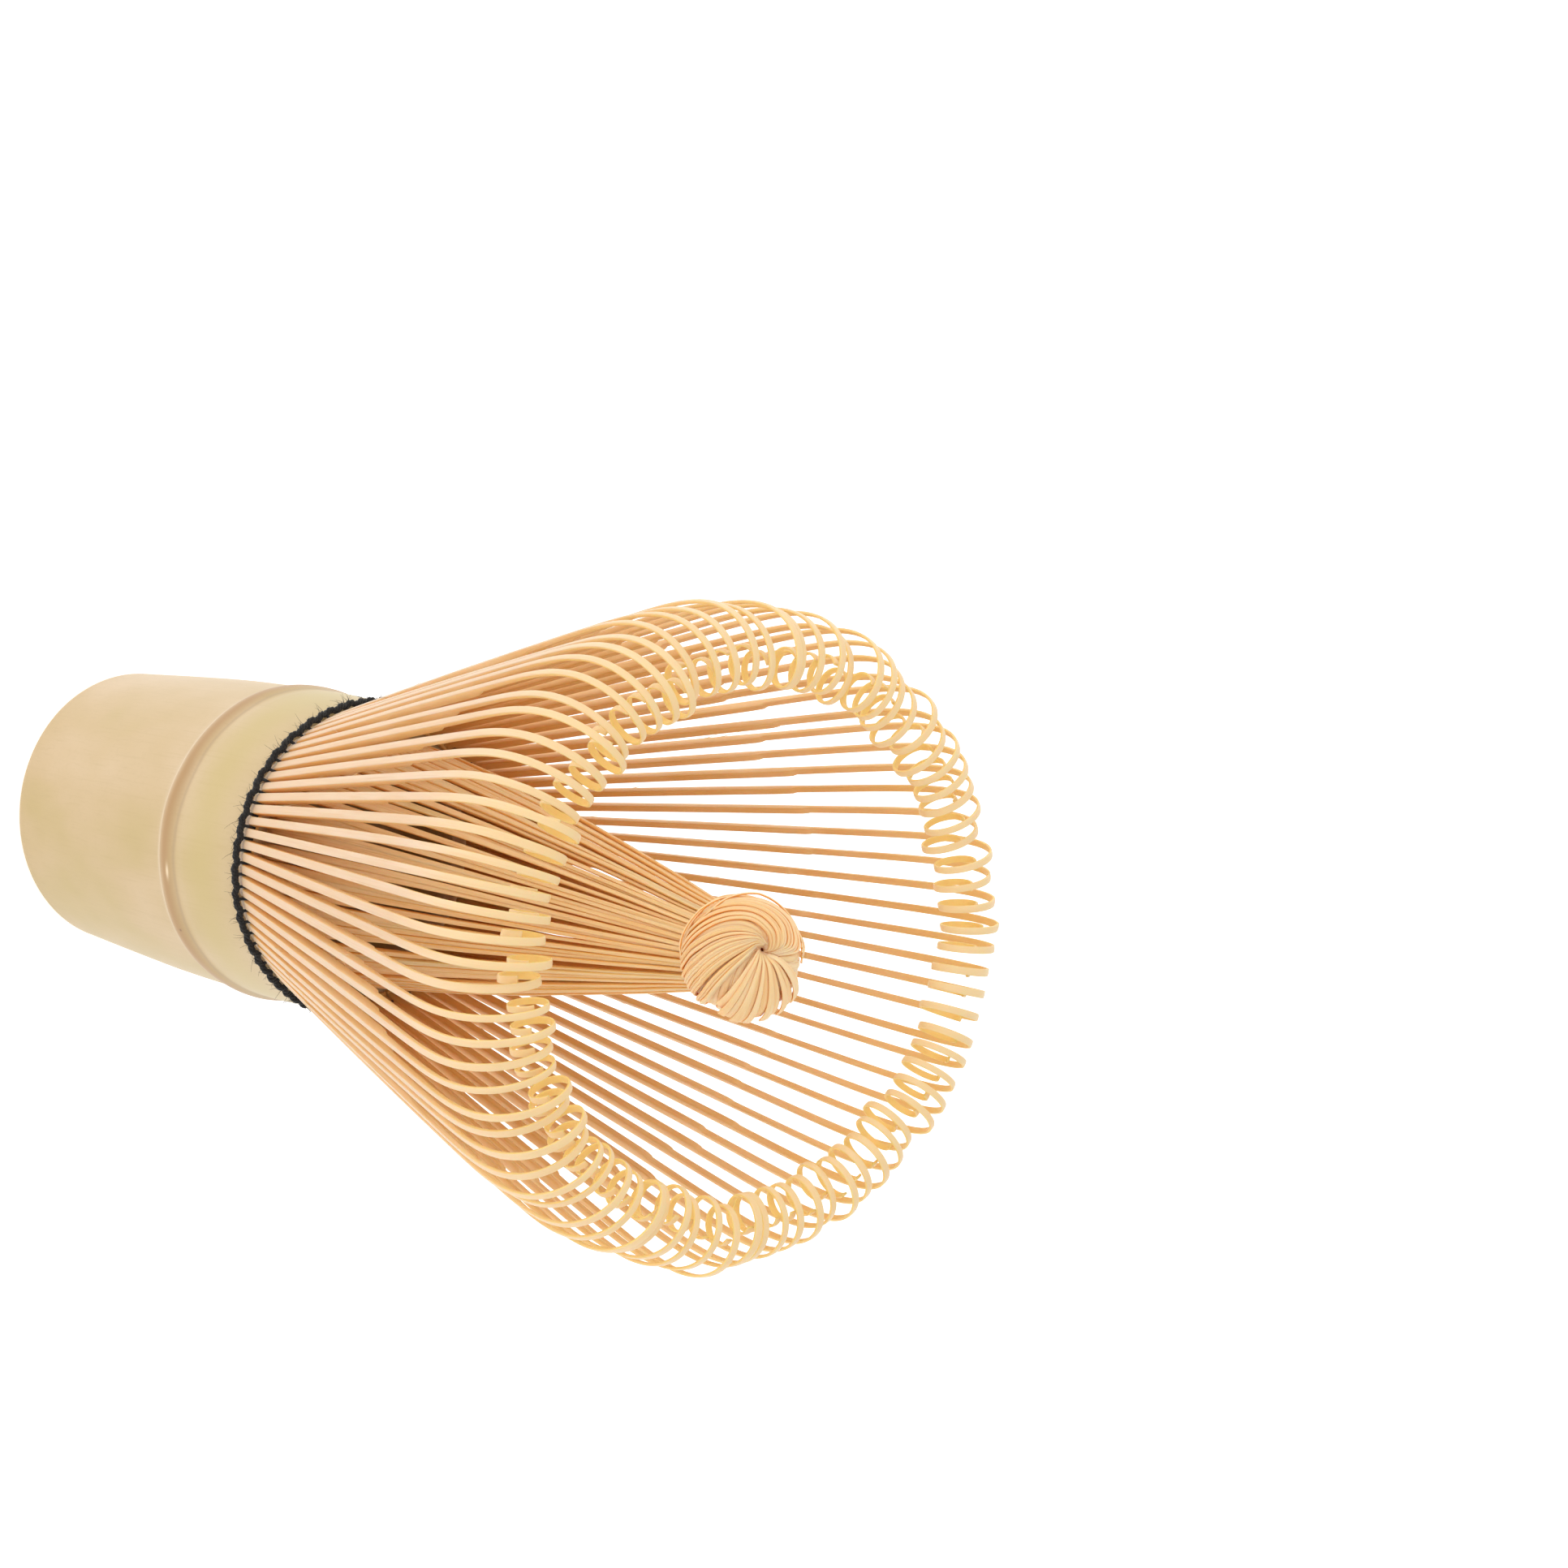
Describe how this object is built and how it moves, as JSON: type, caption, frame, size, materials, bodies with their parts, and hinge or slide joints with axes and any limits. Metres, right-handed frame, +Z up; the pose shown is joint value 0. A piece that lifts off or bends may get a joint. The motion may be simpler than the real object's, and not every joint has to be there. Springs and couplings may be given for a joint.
{
  "type": "bamboo tea whisk",
  "caption": "Bamboo tea whisk: a hollow culm handle with a node ring, split above a black thread into flared, curled outer tines round a cone of fine tines with a twisted knot.",
  "frame": {"origin": "centre of the handle's foot, the bottom centre of the bounding box", "axes": "+Z up the whisk's axis from the foot to the mouth; the knot leans a little towards +X"},
  "size_m": [0.0612, 0.0612, 0.1042],
  "materials": {
    "handle_bamboo": "satin bare bamboo skin",
    "outer_bamboo": "satin split bamboo",
    "inner_bamboo": "matte shaved bamboo",
    "black_thread": "matte twisted cotton"
  },
  "bodies": {
    "handle": {"handle": "handle_bamboo", "binding_thread": "black_thread"},
    "outer_section_01": {"outer_tines_01": "outer_bamboo"},
    "outer_section_02": {"outer_tines_02": "outer_bamboo"},
    "outer_section_03": {"outer_tines_03": "outer_bamboo"},
    "outer_section_04": {"outer_tines_04": "outer_bamboo"},
    "outer_section_05": {"outer_tines_05": "outer_bamboo"},
    "outer_section_06": {"outer_tines_06": "outer_bamboo"},
    "outer_section_07": {"outer_tines_07": "outer_bamboo"},
    "outer_section_08": {"outer_tines_08": "outer_bamboo"},
    "outer_section_09": {"outer_tines_09": "outer_bamboo"},
    "outer_section_10": {"outer_tines_10": "outer_bamboo"},
    "outer_section_11": {"outer_tines_11": "outer_bamboo"},
    "outer_section_12": {"outer_tines_12": "outer_bamboo"},
    "outer_section_13": {"outer_tines_13": "outer_bamboo"},
    "outer_section_14": {"outer_tines_14": "outer_bamboo"},
    "outer_section_15": {"outer_tines_15": "outer_bamboo"},
    "outer_section_16": {"outer_tines_16": "outer_bamboo"},
    "inner_core": {"inner_tines_01": "inner_bamboo", "inner_tines_02": "inner_bamboo", "inner_tines_03": "inner_bamboo", "inner_tines_04": "inner_bamboo", "inner_tines_05": "inner_bamboo", "inner_tines_06": "inner_bamboo", "inner_tines_07": "inner_bamboo", "inner_tines_08": "inner_bamboo", "inner_tines_09": "inner_bamboo", "inner_tines_10": "inner_bamboo", "inner_tines_11": "inner_bamboo", "inner_tines_12": "inner_bamboo", "inner_tines_13": "inner_bamboo", "inner_tines_14": "inner_bamboo", "inner_tines_15": "inner_bamboo", "inner_tines_16": "inner_bamboo", "core_knot": "inner_bamboo"}
  },
  "joints": [
    {"name": "outer_flex_01", "type": "hinge", "parent": "handle", "child": "outer_section_01", "pos_m": [0.01393, 0.00277, 0.0418], "axis": [-0.1951, 0.9808, 0], "range_deg": [-2, 5], "stiffness_Nm_per_rad": 0.03},
    {"name": "outer_flex_02", "type": "hinge", "parent": "handle", "child": "outer_section_02", "pos_m": [0.01181, 0.00789, 0.0418], "axis": [-0.5556, 0.8315, 0], "range_deg": [-2, 5], "stiffness_Nm_per_rad": 0.03},
    {"name": "outer_flex_03", "type": "hinge", "parent": "handle", "child": "outer_section_03", "pos_m": [0.00789, 0.01181, 0.0418], "axis": [-0.8315, 0.5556, 0], "range_deg": [-2, 5], "stiffness_Nm_per_rad": 0.03},
    {"name": "outer_flex_04", "type": "hinge", "parent": "handle", "child": "outer_section_04", "pos_m": [0.00277, 0.01393, 0.0418], "axis": [-0.9808, 0.1951, 0], "range_deg": [-2, 5], "stiffness_Nm_per_rad": 0.03},
    {"name": "outer_flex_05", "type": "hinge", "parent": "handle", "child": "outer_section_05", "pos_m": [-0.00277, 0.01393, 0.0418], "axis": [-0.9808, -0.1951, 0], "range_deg": [-2, 5], "stiffness_Nm_per_rad": 0.03},
    {"name": "outer_flex_06", "type": "hinge", "parent": "handle", "child": "outer_section_06", "pos_m": [-0.00789, 0.01181, 0.0418], "axis": [-0.8315, -0.5556, 0], "range_deg": [-2, 5], "stiffness_Nm_per_rad": 0.03},
    {"name": "outer_flex_07", "type": "hinge", "parent": "handle", "child": "outer_section_07", "pos_m": [-0.01181, 0.00789, 0.0418], "axis": [-0.5556, -0.8315, 0], "range_deg": [-2, 5], "stiffness_Nm_per_rad": 0.03},
    {"name": "outer_flex_08", "type": "hinge", "parent": "handle", "child": "outer_section_08", "pos_m": [-0.01393, 0.00277, 0.0418], "axis": [-0.1951, -0.9808, 0], "range_deg": [-2, 5], "stiffness_Nm_per_rad": 0.03},
    {"name": "outer_flex_09", "type": "hinge", "parent": "handle", "child": "outer_section_09", "pos_m": [-0.01393, -0.00277, 0.0418], "axis": [0.1951, -0.9808, 0], "range_deg": [-2, 5], "stiffness_Nm_per_rad": 0.03},
    {"name": "outer_flex_10", "type": "hinge", "parent": "handle", "child": "outer_section_10", "pos_m": [-0.01181, -0.00789, 0.0418], "axis": [0.5556, -0.8315, 0], "range_deg": [-2, 5], "stiffness_Nm_per_rad": 0.03},
    {"name": "outer_flex_11", "type": "hinge", "parent": "handle", "child": "outer_section_11", "pos_m": [-0.00789, -0.01181, 0.0418], "axis": [0.8315, -0.5556, 0], "range_deg": [-2, 5], "stiffness_Nm_per_rad": 0.03},
    {"name": "outer_flex_12", "type": "hinge", "parent": "handle", "child": "outer_section_12", "pos_m": [-0.00277, -0.01393, 0.0418], "axis": [0.9808, -0.1951, 0], "range_deg": [-2, 5], "stiffness_Nm_per_rad": 0.03},
    {"name": "outer_flex_13", "type": "hinge", "parent": "handle", "child": "outer_section_13", "pos_m": [0.00277, -0.01393, 0.0418], "axis": [0.9808, 0.1951, 0], "range_deg": [-2, 5], "stiffness_Nm_per_rad": 0.03},
    {"name": "outer_flex_14", "type": "hinge", "parent": "handle", "child": "outer_section_14", "pos_m": [0.00789, -0.01181, 0.0418], "axis": [0.8315, 0.5556, 0], "range_deg": [-2, 5], "stiffness_Nm_per_rad": 0.03},
    {"name": "outer_flex_15", "type": "hinge", "parent": "handle", "child": "outer_section_15", "pos_m": [0.01181, -0.00789, 0.0418], "axis": [0.5556, 0.8315, 0], "range_deg": [-2, 5], "stiffness_Nm_per_rad": 0.03},
    {"name": "outer_flex_16", "type": "hinge", "parent": "handle", "child": "outer_section_16", "pos_m": [0.01393, -0.00277, 0.0418], "axis": [0.1951, 0.9808, 0], "range_deg": [-2, 5], "stiffness_Nm_per_rad": 0.03},
    {"name": "core_sway", "type": "hinge", "parent": "handle", "child": "inner_core", "pos_m": [0, 0, 0.0418], "axis": [0, 1, 0], "range_deg": [-3, 3], "stiffness_Nm_per_rad": 0.15}
  ]
}
